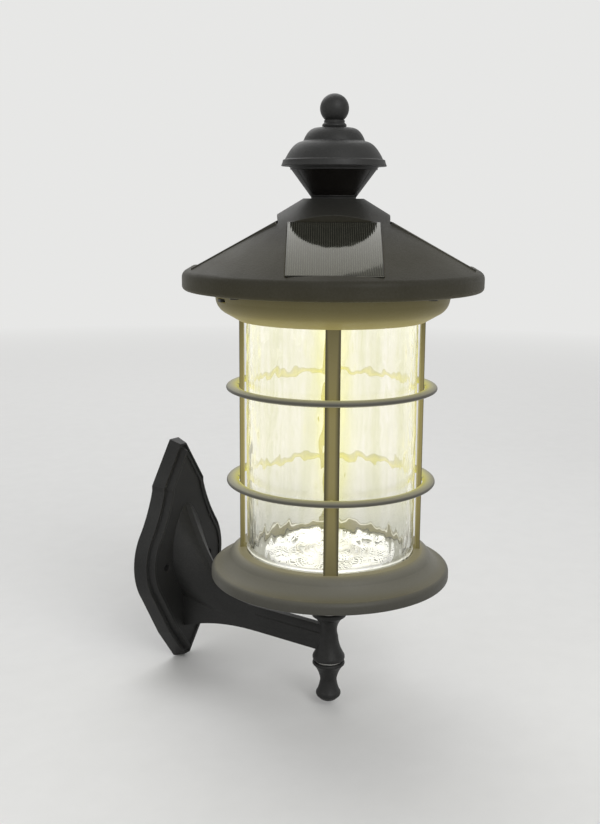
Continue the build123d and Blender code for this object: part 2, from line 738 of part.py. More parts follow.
def switch_body():
    """Body of the slide switch, behind the cup's wall."""
    face = switch_face()
    block = Pos(0, -(face - SWITCH_BODY_D / 2), 0) * Box(SWITCH_BODY_L, SWITCH_BODY_D, SWITCH_BODY_H)
    channel_d = SWITCH_BODY_D - SWITCH_BASE + GAP
    channel = Pos(0, -(face - channel_d / 2), 0) * Box(SLOT_L, channel_d, SLOT_H)
    return at_switch() * (block - channel)


# ---- Battery and control board -----------------------------------------------------------------------
def tray_z():
    """Height of the battery tray's floor."""
    return CUP_FLOOR_Z + TRAY_LIFT


def tray_corners():
    """The tray's four corner posts, in plan."""
    x = CELL_L / 2 + TRAY_T + TRAY_POST_R
    y = 2 * CELL_R + TRAY_POST_R
    return [(sx * x, sy * y) for sx in (-1, 1) for sy in (-1, 1)]


def board_z():
    """Height of the control board's underside."""
    return tray_z() + TRAY_T + 2 * CELL_R + BOARD_LIFT


def battery_tray():
    """Tray for two cells, on four corner posts that also carry the control board."""
    z = tray_z()
    length = CELL_L + 2 * TRAY_T
    width = 4 * CELL_R + 2 * TRAY_T
    tray = Pos(0, 0, z + TRAY_WALL_H / 2) * Box(length, width, TRAY_WALL_H)
    well_h = TRAY_WALL_H - TRAY_T + 1
    tray -= Pos(0, 0, z + TRAY_T + well_h / 2) * Box(CELL_L + 2 * FIT, width - 2 * TRAY_T + 2 * FIT, well_h)
    for x, y in tray_corners():
        tray += Pos(x, y, 0) * rod(TRAY_POST_R, CUP_FLOOR_Z, board_z())
        web_x = x - math.copysign(TRAY_FOOT_IN, x)
        web_y = y - math.copysign(TRAY_FOOT_IN, y)
        tray += Pos(web_x, web_y, z + TRAY_T / 2) * Box(TRAY_FOOT, TRAY_FOOT, TRAY_T)
    return tray


def battery_cells():
    """Two round cells side by side."""
    z = tray_z() + TRAY_T + CELL_R
    cell = Rot(0, 90, 0) * rod(CELL_R - FIT / 2, -CELL_L / 2, CELL_L / 2)
    return [Pos(0, side * CELL_R, z) * cell for side in (-1, 1)]


def control_board():
    """Control board on the tray's posts, with its connector, chip and coil."""
    x, y = tray_corners()[-1]
    z = board_z()
    length = 2 * (x + CONTROL_MARGIN)
    width = 2 * (y + CONTROL_MARGIN)
    board = Pos(0, 0, z + BOARD_T / 2) * Box(length, width, BOARD_T)
    top = z + BOARD_T
    board += Pos(SOCKET_X, 0, top + SOCKET_SIZE[2] / 2) * Box(*SOCKET_SIZE)
    board += Pos(*CHIP_PLACE, top + CHIP_SIZE[2] / 2) * Box(*CHIP_SIZE)
    return board + Pos(*COIL_PLACE, 0) * rod(COIL_R, top, top + COIL_H)


# ---- Roof --------------------------------------------------------------------------------------------
def panel_plane():
    """Plane of the front panel's outer face: X across, Y up the slope, from its upper edge."""
    tilt = math.radians(PANEL_SLOPE)
    origin = (0, -PANEL_IN, cone_z(PANEL_IN) - PANEL_DEEP)
    return Plane(origin=origin, x_dir=(1, 0, 0), z_dir=(0, -math.sin(tilt), math.cos(tilt)))


def solar_panel():
    """One flat panel, its edges slightly broken."""
    slab = Pos(0, -PANEL_L / 2, -PANEL_T / 2) * Box(PANEL_W, PANEL_L, PANEL_T)
    slab = chamfer(slab.faces().sort_by(Axis.Z)[-1].edges(), PANEL_EDGE)
    return panel_plane() * slab


def pocket(wall):
    """The pocket of the front panel, or with a wall, the block that it is sunk in."""
    side = PANEL_W / 2 + SEAT + wall
    upper = SEAT + wall
    lower = PANEL_L + SEAT + wall
    depth = PANEL_T + wall
    shape = outline(
        (upper, -depth),
        (upper + POCKET_DRAFT * 4, POCKET_H),
        (-lower - POCKET_H / 2, POCKET_H),
        (-lower, 0),
        (-lower, -depth),
    )
    section = Plane(origin=(-side, 0, 0), x_dir=(0, 1, 0), z_dir=(1, 0, 0)) * shape
    return panel_plane() * extrude(section, 2 * side)


def roof_screw():
    """One screw from under the cup's flange into the roof."""
    face = CUP_TOP_Z + ROOF_DROP
    shank = rod(ROOF_SCREW_R, face, face + ROOF_SCREW_L)
    head = rod(ROOF_SCREW_HEAD_R, face - ROOF_SCREW_HEAD_H, face)
    return Pos(0, -ROOF_SCREW_PCR, 0) * (shank + head)


def roof_cone(inset, low, floor_r):
    """The roof's outer form, or with an inset, the hollow inside it."""
    top_z = ROOF_TOP_Z - inset * 1.15
    edge_r = ROOF_R - inset
    edge_z = top_z - (edge_r - ROOF_TOP_R) * ROOF_RISE
    if inset:
        return turned(
            (0, low),
            (floor_r, low),
            (edge_r, low),
            (edge_r, edge_z),
            (ROOF_TOP_R, top_z),
            (0, top_z),
        )
    bend = ROOF_ROUND
    return turned(
        (0, low),
        (edge_r - bend, low),
        ((edge_r - bend * 0.3, low + bend * 0.3), (edge_r, low + bend)),
        (edge_r, edge_z - bend),
        ((edge_r - bend * 0.22, edge_z - bend * 0.12), (edge_r - bend, edge_z + bend * ROOF_RISE)),
        (ROOF_TOP_R, top_z),
        (0, top_z),
    )


def roof_shell():
    """Conical roof with an upright rim and four flat sunk places for the panels."""
    hollow = roof_cone(ROOF_WALL, CUP_TOP_Z + ROOF_DROP + CUP_FLANGE_T, CUP_FLANGE_R)
    for block in ring_of(pocket(ROOF_WALL), 4):
        hollow -= block
    boss = Pos(0, -ROOF_SCREW_PCR, 0) * rod(
        ROOF_BOSS_R, CUP_TOP_Z + ROOF_DROP + CUP_FLANGE_T, cone_z(ROOF_SCREW_PCR)
    )
    for block in ring_of(boss, 4, 45):
        hollow -= block
    roof = roof_cone(0, ROOF_Z, ROOF_R) - hollow
    roof -= rod(CUP_FLANGE_R + SEAT, ROOF_Z - 1, CUP_TOP_Z + ROOF_DROP + CUP_FLANGE_T)
    for cut in ring_of(pocket(0), 4):
        roof -= cut
    for cut in ring_of(roof_screw(), 4, 45):
        roof -= cut
    return roof - rod(TIE_R + FIT, ROOF_TOP_Z - 20, ROOF_TOP_Z + 1)


# ---- Sensor head, cap and ball -----------------------------------------------------------------------
def housing_r(z):
    """Outer radius of the sensor housing at a height above its base."""
    return HOUSING_BASE_R + (HOUSING_TOP_R - HOUSING_BASE_R) * z / HOUSING_H


def housing_shell(skin, low, high):
    """A conical skin of the sensor housing between two heights above its base."""
    return turned(
        (housing_r(low) - skin, HOUSING_Z + low),
        (housing_r(low), HOUSING_Z + low),
        (housing_r(high), HOUSING_Z + high),
        (housing_r(high) - skin, HOUSING_Z + high),
    )


def window_front(clear):
    """Front view of the sensor window, as a prism that reaches forward from the axis."""
    low = HOUSING_WALL - clear
    high = HOUSING_H - WINDOW_TOP_GAP + clear
    view = outline(
        (-WINDOW_BASE_HALF - clear, low),
        (WINDOW_BASE_HALF + clear, low),
        (WINDOW_TOP_HALF + clear, high),
        (-WINDOW_TOP_HALF - clear, high),
    )
    return Pos(0, 0, HOUSING_Z) * extrude(Plane.XZ * view, HOUSING_TOP_R + 5)


def sensor_housing():
    """Inverted cone with a floor and a roof, open at the front for the window."""
    shell = housing_shell(HOUSING_WALL, 0, HOUSING_H)
    shell += rod(housing_r(HOUSING_WALL) - 1, HOUSING_Z, HOUSING_Z + HOUSING_WALL)
    shell += rod(HOUSING_TOP_R - 1, CAP_Z - HOUSING_WALL, CAP_Z)
    shell -= window_front(FIT)
    return shell - rod(TIE_R + FIT, HOUSING_Z - 1, CAP_Z + 1)


def sensor_window():
    """Dark window across the front of the housing."""
    return housing_shell(WINDOW_T, 0, HOUSING_H) & window_front(0)


def pir_board():
    """Motion sensor on its small upright board, looking out through the window."""
    middle = HOUSING_Z + HOUSING_WALL + PIR_BOARD_H / 2
    board = Pos(0, -PIR_BOARD_OFF - BOARD_T / 2, middle) * Box(PIR_BOARD_W, BOARD_T, PIR_BOARD_H)
    can = Pos(0, -PIR_BOARD_OFF - BOARD_T, middle) * Rot(90, 0, 0) * rod(PIR_R, 0, PIR_H)
    return board + can


def finial_cap():
    """Ogee cap over the sensor housing."""
    top = CAP_Z + CAP_H
    outer = turned(
        (0, CAP_Z),
        (CAP_R - 4, CAP_Z),
        (CAP_R - 0.6, CAP_Z + 0.4),
        ((CAP_R, CAP_Z + 1.4), (CAP_R - 0.8, CAP_Z + 3.2)),
        ((CAP_R - 3.4, CAP_Z + 5.4), (CAP_SHOULDER_R + 0.2, CAP_Z + 9)),
        ((CAP_SHOULDER_R - 0.6, CAP_Z + 11.4), (CAP_SHOULDER_R - 3, CAP_Z + 12.8)),
        ((CAP_TOP_R + 5, top - 6.6), (CAP_TOP_R, top)),
        (0, top),
    )
    hollow_r = CAP_SHOULDER_R - CAP_WALL
    hollow = turned(
        (TIE_R + CAP_WALL, CAP_Z - 1),
        (hollow_r, CAP_Z - 1),
        (hollow_r, CAP_Z + 8),
        (CAP_TOP_R + 2, CAP_Z + 13),
        (TIE_R + CAP_WALL, CAP_Z + 13),
    )
    return outer - hollow - rod(TIE_R + FIT, CAP_Z - 1, top + 1)


def finial_collar():
    """Small collar between the cap and the ball."""
    collar = tube(COLLAR_R, TIE_R + FIT, COLLAR_Z, COLLAR_Z + COLLAR_H)
    return fillet(collar.edges().filter_by(GeomType.CIRCLE).group_by(SortBy.RADIUS)[-1], 0.8)


def ball_finial():
    """Ball, screwed on the tie rod, its foot flat on the collar."""
    base = COLLAR_Z + COLLAR_H
    ball = Pos(0, 0, BALL_Z) * Sphere(BALL_R)
    return ball - rod(BALL_R, base - BALL_R, base) - rod(TIE_R, base - 1, BALL_Z)


def tie_rod():
    """Threaded rod from under the roof's top up into the ball."""
    low = ROOF_TOP_Z - ROOF_WALL * 1.15 - TIE_NUT_H - 2
    return rod(TIE_R, low, BALL_Z)


def tie_nut():
    """Nut of the tie rod, under the roof's top."""
    seat = ROOF_TOP_Z - ROOF_WALL * 1.15
    return hexagon(TIE_NUT_AF, seat - TIE_NUT_H, seat) - rod(TIE_R, seat - 20, seat + 1)


# ---- Every piece under its name ----------------------------------------------------------------------
BRACKET = {"wall_plate": wall_plate, "bracket_arm": bracket_arm, "arm_screws": arm_screws}

LANTERN = {
    "stem_bolt": stem_bolt,
    "pivot_washer": pivot_washer,
    "finial_washer": finial_washer,
    "lower_finial": lower_finial,
    "base_dish": base_dish,
    "base_pan": base_pan,
    "pan_screws": lambda: ring_of(pan_screw(), 4, 45),
    "reflector": reflector,
    "reflector_carrier": reflector_carrier,
    "reflector_screws": lambda: ring_of(reflector_screw(), 3, 30),
    "lower_gasket": lambda: gasket(LIP_Z - GROOVE_TUCK),
    "upper_gasket": lambda: gasket(CUP_Z + GLASS_TUCK),
    "glass_cylinder": glass_cylinder,
    "ring_lower": lambda: cage_ring(RING_HEIGHTS[0]),
    "ring_upper": lambda: cage_ring(RING_HEIGHTS[1]),
    "ring_rivets": lambda: [r for z in RING_HEIGHTS for r in ring_of(rivet(z), 4)],
    "bar_screws": lambda: ring_of(lower_bar_screw(), 4) + ring_of(upper_bar_screw(), 4),
    "lower_cup": lower_cup,
    "led_lens": led_lens,
    "led_board": led_board,
    "led_emitters": led_emitters,
    "led_screws": lambda: ring_of(led_screw(), 3, 15),
    "switch_body": switch_body,
    "mode_switch": mode_switch,
    "battery_tray": battery_tray,
    "battery_cells": battery_cells,
    "control_board": control_board,
    "roof_shell": roof_shell,
    "roof_screws": lambda: ring_of(roof_screw(), 4, 45),
    "sensor_housing": sensor_housing,
    "sensor_window": sensor_window,
    "pir_board": pir_board,
    "finial_cap": finial_cap,
    "finial_collar": finial_collar,
    "ball_finial": ball_finial,
    "tie_rod": tie_rod,
    "tie_nut": tie_nut,
}


def write(name, shape, place=Location()):
    """One STEP file for one node. A list is a group of separate solids."""
    solids = shape if isinstance(shape, list) else [shape]
    placed = [place * solid for solid in solids]
    export_step(placed[0] if len(placed) == 1 else Compound(placed), f"parts/{name}.step")


def main():
    os.makedirs("parts", exist_ok=True)
    head = Pos(0, -REACH, 0) * Rot(0, 0, HEAD_TURN)
    for name, make in BRACKET.items():
        write(name, make())
    for name, make in LANTERN.items():
        write(name, make(), head)
    bar = cage_bar()
    panel = solar_panel()
    for side, angle in QUARTERS.items():
        write(f"cage_bar_{side}", bar, head * Rot(0, 0, angle))
        write(f"solar_panel_{side}", panel, head * Rot(0, 0, angle))


main()
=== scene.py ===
# %% [markdown]
# # A solar wall lantern
#
# The solids of the lantern come first: they are in metres, with the back of the wall plate at y = 0, the arm
# reaching towards -Y and +Z up. This notebook gives them their finishes and rebuilds the few pieces whose looks
# need more than a plain solid: the rippled glass, the fluted reflector, the solar panels, the cap and collar on
# top and the screw heads. The solids stay where they are, so a piece that fits them here also fits them in use.

# %% Load the solids
import math
import bmesh
import bpy
from mathutils import Matrix, Vector, geometry, noise


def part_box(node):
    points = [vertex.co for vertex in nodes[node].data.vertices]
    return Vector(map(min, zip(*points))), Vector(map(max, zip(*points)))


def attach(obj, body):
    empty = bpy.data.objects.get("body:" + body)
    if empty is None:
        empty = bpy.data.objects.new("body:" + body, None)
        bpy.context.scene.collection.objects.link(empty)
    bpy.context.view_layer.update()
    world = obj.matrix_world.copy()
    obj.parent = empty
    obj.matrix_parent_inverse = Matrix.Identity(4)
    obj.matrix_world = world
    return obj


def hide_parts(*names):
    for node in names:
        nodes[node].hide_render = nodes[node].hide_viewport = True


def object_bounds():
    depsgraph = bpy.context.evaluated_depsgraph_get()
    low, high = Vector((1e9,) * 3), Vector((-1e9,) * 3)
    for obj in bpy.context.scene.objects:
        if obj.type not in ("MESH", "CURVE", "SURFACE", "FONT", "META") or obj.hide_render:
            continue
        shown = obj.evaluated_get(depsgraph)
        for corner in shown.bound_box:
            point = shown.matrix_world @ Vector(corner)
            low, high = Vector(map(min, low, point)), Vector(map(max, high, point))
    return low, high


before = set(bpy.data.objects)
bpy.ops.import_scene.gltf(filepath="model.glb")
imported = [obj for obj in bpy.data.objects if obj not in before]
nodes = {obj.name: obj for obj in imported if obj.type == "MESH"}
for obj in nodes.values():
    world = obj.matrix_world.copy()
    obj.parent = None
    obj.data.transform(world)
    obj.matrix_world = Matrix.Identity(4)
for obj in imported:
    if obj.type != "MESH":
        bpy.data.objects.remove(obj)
solid_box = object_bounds()
print("solids:", len(nodes), "box:", [tuple(round(v, 4) for v in corner) for corner in solid_box])

# %% [markdown]
# ## Where the lantern stands
#
# Everything on the head is drawn about its own upright axis with its front towards -Y. The head stands at the
# end of the arm and is turned a little to the left, so one matrix puts a finished piece in its place. Heights
# are read from the solids rather than typed again.

# %% The head's place
REACH = 0.150
HEAD_TURN = math.radians(-55.0)
AXIS = Vector((0.0, -REACH, 0.0))
AXIS_PLACE = Matrix.Translation(AXIS)
HEAD = AXIS_PLACE @ Matrix.Rotation(HEAD_TURN, 4, "Z")
GLASS_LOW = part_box("glass_cylinder")[0].z
GLASS_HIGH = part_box("glass_cylinder")[1].z
GLASS_R = 0.060
print("glass from", round(GLASS_LOW, 4), "to", round(GLASS_HIGH, 4))

# %% [markdown]
# ## Sums on shader values
#
# A finish is mostly sums: so much grain, so much wear near an edge. Written as nodes they are hard to read, so
# a small class wraps a socket and turns +, -, * and / into the nodes that do them. The finish itself has one
# method that makes any node from its type, its settings and what goes into its sockets.


# %% A value in a finish
class Term:
    """A value in a finish. Numbers and other terms may stand on either side of it."""

    def __init__(self, finish, socket):
        self.finish = finish
        self.socket = socket

    def math(self, operation, *values):
        return self.finish.node("ShaderNodeMath", {"operation": operation}, dict(enumerate(values)))

    def __add__(self, other):
        return self.math("ADD", self, other)

    def __radd__(self, other):
        return self.math("ADD", other, self)

    def __sub__(self, other):
        return self.math("SUBTRACT", self, other)

    def __rsub__(self, other):
        return self.math("SUBTRACT", other, self)

    def __mul__(self, other):
        return self.math("MULTIPLY", self, other)

    def __rmul__(self, other):
        return self.math("MULTIPLY", other, self)

    def __truediv__(self, other):
        return self.math("DIVIDE", self, other)

    def __rtruediv__(self, other):
        return self.math("DIVIDE", other, self)

    def of(self, operation):
        """The value passed through a function of one number."""
        return self.math(operation, self)

    def above(self, floor):
        return self.math("MAXIMUM", self, floor)

    def below(self, ceiling):
        return self.math("MINIMUM", self, ceiling)

    def between(self, low, high):
        """0 below low, 1 above high, and a straight rise between."""
        settings = {"clamp": True}
        return self.finish.node("ShaderNodeMapRange", settings, {0: self, 1: low, 2: high, 3: 0.0, 4: 1.0})


print("a Term answers +, -, * and / from both sides")


# %% A finish
class Finish:
    """A procedural material for one kind of surface."""

    def __init__(self, name, **constants):
        self.material = bpy.data.materials.new(name)
        self.material.use_nodes = True
        self.tree = self.material.node_tree
        self.shader = self.tree.nodes["Principled BSDF"]
        self.made = {}
        for socket, value in constants.items():
            self.feed(self.shader.inputs[socket.replace("_", " ")], value)

    def node(self, kind, settings=None, sockets=None, out=0):
        made = self.tree.nodes.new(kind)
        for name, value in (settings or {}).items():
            setattr(made, name, value)
        for name, value in (sockets or {}).items():
            self.feed(made.inputs[name], value)
        return Term(self, made.outputs[out])

    def feed(self, socket, value):
        if isinstance(value, Term):
            self.tree.links.new(value.socket, socket)
        elif socket.type == "RGBA":
            socket.default_value = (*value, 1.0)
        else:
            socket.default_value = value

    def show(self, **links):
        for socket, value in links.items():
            self.feed(self.shader.inputs[socket.replace("_", " ")], value)
        return self.material

    def once(self, name, make):
        """A value that several sums share: it is made the first time it is asked for."""
        if name not in self.made:
            self.made[name] = make()
        return self.made[name]

    def where(self):
        """The surface's place in the solids' own frame."""
        return self.once("where", lambda: self.node("ShaderNodeTexCoord", out="Object"))

    def facing(self):
        """Three values: the way that the surface faces, in the solids' own frame."""
        return self.once("facing", lambda: self.parts(self.node("ShaderNodeTexCoord", out="Normal")))

    def from_axis(self):
        """Three values: the surface's place from the head's axis, not turned with the head."""
        settings = {"operation": "SUBTRACT"}
        sockets = {0: self.where(), 1: AXIS}
        return self.once("from_axis", lambda: self.parts(self.node("ShaderNodeVectorMath", settings, sockets)))

    def on_head(self, scale=(1.0, 1.0, 1.0)):
        """The surface's place about the head's axis, its front towards -Y."""
        sockets = {"Vector": self.where(), "Location": AXIS, "Rotation": (0.0, 0.0, HEAD_TURN), "Scale": scale}
        return self.node("ShaderNodeMapping", {"vector_type": "TEXTURE"}, sockets)

    def off_bar(self):
        """Distance sideways from the nearest of the cage's four bars, near the cage."""
        x, y, _ = self.parts(self.on_head())
        return x.of("ABSOLUTE").below(y.of("ABSOLUTE"))

    def parts(self, vector):
        node = self.node("ShaderNodeSeparateXYZ", sockets={0: vector}).socket.node
        return [Term(self, socket) for socket in node.outputs]

    def clouds(self, size, detail=2.0, rough=0.5, at=None):
        """Soft random spots of about a size in metres, from 0 to 1."""
        sockets = {"Vector": at or self.where(), "Scale": 1.0 / size, "Detail": detail, "Roughness": rough}
        return self.node("ShaderNodeTexNoise", {}, sockets)

    def mix(self, share, first, second):
        return self.node("ShaderNodeMix", {"data_type": "RGBA"}, {0: share, 6: first, 7: second}, out=2)

    def bump(self, height, depth, normal=None, strength=1.0):
        sockets = {"Height": height, "Distance": depth, "Strength": strength}
        if normal:
            sockets["Normal"] = normal
        return self.node("ShaderNodeBump", {}, sockets)


print("finish tools ready")

# %% [markdown]
# ## Light that spills from the glass
#
# The lamp is lit, and the metal nearest the glass looks olive and lighter than the rest. A lamp inside could
# light it for real, but the glass in front of it would burn out long before. So each casing finish near the
# glass carries a faint glow of its own, which fades with the distance from the glass and is stronger where the
# surface faces it. A second tint, nearly grey, serves the surfaces that face away. The glow depends only on the
# piece itself, so it is the same from every side.

# %% Spill of warm light
GLOW_TINT = (1.0, 0.84, 0.29)
YELLOW_TINT = (1.0, 0.92, 0.19)
GREY_TINT = (1.0, 0.95, 0.72)
BLACK = (0.0, 0.0, 0.0)
GLASS_MIDDLE = (GLASS_LOW + GLASS_HIGH) / 2
GLASS_HALF = (GLASS_HIGH - GLASS_LOW) / 2


def outwards(finish):
    """How far a surface faces away from the head's axis, from -1 to 1, and its distance from the axis."""
    x, y, _ = finish.from_axis()
    face_x, face_y, _ = finish.facing()
    radius = (x * x + y * y).of("SQRT").above(0.001)
    return (face_x * x + face_y * y) / radius, radius


def spill(finish, strength, reach, round_corner, tints):
    """A warm glow near the glass, as an emission colour.

    The share round_corner also reaches the far side. The first tint is for what faces the glass, the second for
    what faces away.
    """
    z = finish.from_axis()[2]
    face_out, radius = outwards(finish)
    face_up = finish.facing()[2]
    out = (radius - GLASS_R).above(0.0)
    past = z - GLASS_MIDDLE
    up = (past.of("ABSOLUTE") - GLASS_HALF).above(0.0)
    distance = (out * out + up * up).of("SQRT").above(0.0005)
    towards = 0.0 - (out * face_out + up * past.of("SIGN") * face_up) / distance
    lit = (towards * 0.5 + 0.5) * (1.0 - round_corner) + round_corner
    near = (0.0 - distance * distance / reach**2).of("EXPONENT")
    inner, outer = (tuple(strength * c for c in tint) for tint in tints)
    bright = finish.mix(face_out.between(-0.4, 0.6), inner, outer)
    return finish.mix(near * lit, BLACK, bright)


print("glass half height:", round(GLASS_HALF, 4))


# %% [markdown]
# ## The cast casing
#
# Plate, arm, dish, cup, roof and finials are cast metal under a charcoal powder coat. Such a coat is matt, with
# a fine grain like the skin of an orange, slightly cloudy, and thinner on the edges, where it looks lighter.
# The grain goes into the bump, the clouds into the colour and the roughness. A bevel in the shader rounds the
# knife edges that a solid has and a casting never has. One coat in six variants is simpler than six coats: the
# pieces near the lamp only add the spill of its light, each with its own strength and reach.

# %% Powder coat
CHARCOAL = (0.0115, 0.0115, 0.0112)
CHARCOAL_LIGHT = (0.023, 0.023, 0.0218)
CHARCOAL_WORN = (0.085, 0.085, 0.080)
CLOUD_SIZE = 0.030
GRAIN_SIZE = 0.0013
GRAIN_DEPTH = 0.00022
EDGE_ROUND = 0.0007


def powder_coat(name, gloss=0.24, strength=0.0, reach=0.035, round_corner=0.4, tints=None, painted_bar_shade=False):
    """Charcoal coat. With a strength it also carries the lamp's spill; for the cage's bars the last argument
    paints shade, taking the spill off their outer sides and off the glass's ends.
    """
    finish = Finish(name, Emission_Strength=1.0 if strength else 0.0, Specular_IOR_Level=gloss)
    clouds = finish.clouds(CLOUD_SIZE, 3.0)
    grain = finish.clouds(GRAIN_SIZE, 3.0, 0.6)
    soft = finish.node("ShaderNodeBevel", {"samples": 4}, {"Radius": EDGE_ROUND})
    plain = finish.node("ShaderNodeNewGeometry", out="Normal")
    turned_by = {0: soft, 1: plain}
    edge = 1.0 - finish.node("ShaderNodeVectorMath", {"operation": "DOT_PRODUCT"}, turned_by, out="Value")
    worn = (edge * 5.0 * (clouds + 0.3)).between(0.05, 0.9)
    coat = finish.mix((clouds * 0.6 + grain * 0.6 - 0.1).between(0.25, 0.75), CHARCOAL, CHARCOAL_LIGHT)
    colour = finish.mix(worn * 0.5, coat, CHARCOAL_WORN)
    if strength:
        glow = spill(finish, strength, reach, round_corner, tints or (GLOW_TINT, GLOW_TINT))
        if painted_bar_shade:
            # Painted shade on the bars: the spill is taken off their outer sides and towards the ends of the
            # glass.
            side = finish.off_bar().between(0.0016, 0.0042) * outwards(finish)[0].between(0.3, 0.7)
            past = (finish.from_axis()[2] - GLASS_MIDDLE) / GLASS_HALF
            ends = (past * past).between(0.05, 1.1)
            glow = finish.mix((side * 0.75).above(ends * 0.6), glow, BLACK)
        finish.show(Emission_Color=glow)
    return finish.show(
        Base_Color=colour,
        Roughness=0.60 - clouds * 0.16 - grain * 0.08,
        Normal=finish.bump(grain, GRAIN_DEPTH, soft, 0.7),
    )


print("grain of the coat:", GRAIN_SIZE)

# %% The six coats
casing = powder_coat("charcoal_coat")
casing_dish = powder_coat(
    "charcoal_coat_dish", gloss=0.20, strength=0.26, reach=0.027, tints=(GLOW_TINT, GREY_TINT)
)
casing_cup = powder_coat("charcoal_coat_cup", gloss=0.20, strength=0.54, reach=0.022)
casing_roof = powder_coat("charcoal_coat_roof", gloss=0.10, strength=0.20, reach=0.038, round_corner=0.42)
casing_bars = powder_coat(
    "charcoal_coat_bars", gloss=0.20, strength=0.30, reach=0.030, round_corner=0.70, painted_bar_shade=True
)
RING_TINTS = (YELLOW_TINT, GREY_TINT)
casing_rings = powder_coat(
    "charcoal_coat_rings", gloss=0.25, strength=0.62, reach=0.028, round_corner=0.10, tints=RING_TINTS
)
print("powder coats:", [m.name for m in bpy.data.materials if m.name.startswith("charcoal")])

# %% [markdown]
# ## Metal, rubber and plastic inside
#
# Screws, washers and the tie rod are zinc-plated steel: bright, a little uneven, with fine turning marks. The
# screws that show from below are blackened, so that they don't wink in a dark casing. The gaskets are dull
# black rubber. The switch and the battery tray are moulded plastic with a spark-eroded grain. They hardly show,
# but they are seen when the lantern is taken apart. Each finish needs only one or two layers of noise, so each
# is one short function.


# %% Steel, rubber, plastic
def turned_steel(name, dark, light):
    finish = Finish(name, Metallic=1.0)
    blotch = finish.clouds(0.004, 3.0)
    drawn_out = finish.node("ShaderNodeMapping", {}, {0: finish.where(), 3: (0.15, 0.15, 1.6)})
    lines = finish.clouds(0.0009, 2.0, 0.6, drawn_out)
    return finish.show(
        Base_Color=finish.mix(blotch, dark, light),
        Roughness=0.24 + blotch * 0.14 + lines * 0.10,
        Normal=finish.bump(lines, 0.00004),
    )


def gasket_rubber():
    finish = Finish("gasket_rubber")
    dust = finish.clouds(0.003, 3.0)
    return finish.show(
        Base_Color=finish.mix(dust, (0.012, 0.012, 0.012), (0.035, 0.034, 0.032)),
        Roughness=0.75 + dust * 0.15,
        Normal=finish.bump(dust, 0.0001),
    )


def moulded_plastic():
    finish = Finish("moulded_plastic")
    erosion = finish.clouds(0.0006, 2.0)
    flow = finish.clouds(0.02, 2.0)
    return finish.show(
        Base_Color=finish.mix(flow, (0.014, 0.014, 0.015), (0.028, 0.028, 0.029)),
        Roughness=0.42 + erosion * 0.2,
        Normal=finish.bump(erosion, 0.00006),
    )


steel = turned_steel("zinc_steel", (0.42, 0.42, 0.41), (0.66, 0.66, 0.62))
black_steel = turned_steel("blackened_steel", (0.020, 0.020, 0.021), (0.055, 0.055, 0.054))
rubber = gasket_rubber()
plastic = moulded_plastic()
print("inner finishes ready")

# %% [markdown]
# ## Circuit boards, LEDs and battery sleeves
#
# A board is green solder mask over copper: where a track runs the green is lighter and stands a little proud.
# Two crossed waves, broken up by soft spots, give such tracks without drawing any. The LED board is white so
# that it throws the light down. The cells wear a shrink sleeve with bare metal at the ends, and a step in the
# colour at a set distance from the middle is enough to show both.


# %% Boards
SLEEVE_END = 0.0312


def circuit_board(name, mask, track):
    finish = Finish(name, Roughness=0.35)
    x, y, _ = finish.parts(finish.on_head())
    lanes = (x * 900.0).of("SINE") * (y * 700.0).of("SINE")
    patch = finish.clouds(0.009, 1.0)
    copper = (lanes * 0.5 + patch).between(0.62, 0.68)
    return finish.show(Base_Color=finish.mix(copper, mask, track), Normal=finish.bump(copper, 0.00005))


def glowing(name, colour, strength, grain):
    finish = Finish(name, Emission_Strength=strength, Roughness=0.4)
    spots = finish.clouds(grain, 1.0)
    tone = finish.mix(spots, colour, tuple(0.88 * c for c in colour))
    return finish.show(Base_Color=tone, Emission_Color=tone)


def battery_sleeve():
    finish = Finish("battery_sleeve", Roughness=0.3)
    along = finish.parts(finish.on_head())[0]
    cap = along.of("ABSOLUTE").between(SLEEVE_END, SLEEVE_END + 0.0002)
    shrink = finish.clouds(0.004, 2.0)
    sleeve = finish.mix(shrink, (0.02, 0.16, 0.075), (0.03, 0.22, 0.11))
    return finish.show(
        Base_Color=finish.mix(cap, sleeve, (0.62, 0.62, 0.60)),
        Metallic=cap,
        Normal=finish.bump(shrink, 0.0001),
    )


green_board = circuit_board("green_board", (0.010, 0.070, 0.028), (0.030, 0.150, 0.060))
white_board = circuit_board("white_board", (0.70, 0.70, 0.68), (0.78, 0.78, 0.76))
led_glow = glowing("led_glow", (1.0, 0.86, 0.52), 6.0, 0.001)
lens_glow = glowing("lens_glow", (1.0, 0.93, 0.74), 1.6, 0.003)
sleeve = battery_sleeve()
print("boards, LEDs and sleeves ready")

# %% [markdown]
# ## The sensor window
#
# The window is dark infrared plastic: nearly black, glossy, with a very slight wave from moulding that bends
# the reflections. It could be see-through, as it is to the sensor, but to the eye it is plain black, and a low
# gloss keeps the pale studio from turning it grey.


# %% Dark window
def dark_window():
    finish = Finish("dark_window", Specular_IOR_Level=0.2)
    wave = finish.clouds(0.012, 1.0)
    return finish.show(
        Base_Color=finish.mix(wave, (0.004, 0.0035, 0.003), (0.009, 0.008, 0.007)),
        Roughness=0.20 + wave * 0.10,
        Normal=finish.bump(wave, 0.0003),
    )


window = dark_window()
print(window.name)

# %% [markdown]
# ## Put the finishes on the solids
#
# A solid whose shape is right only needs its finish. The list goes piece by piece, so that none is forgotten.

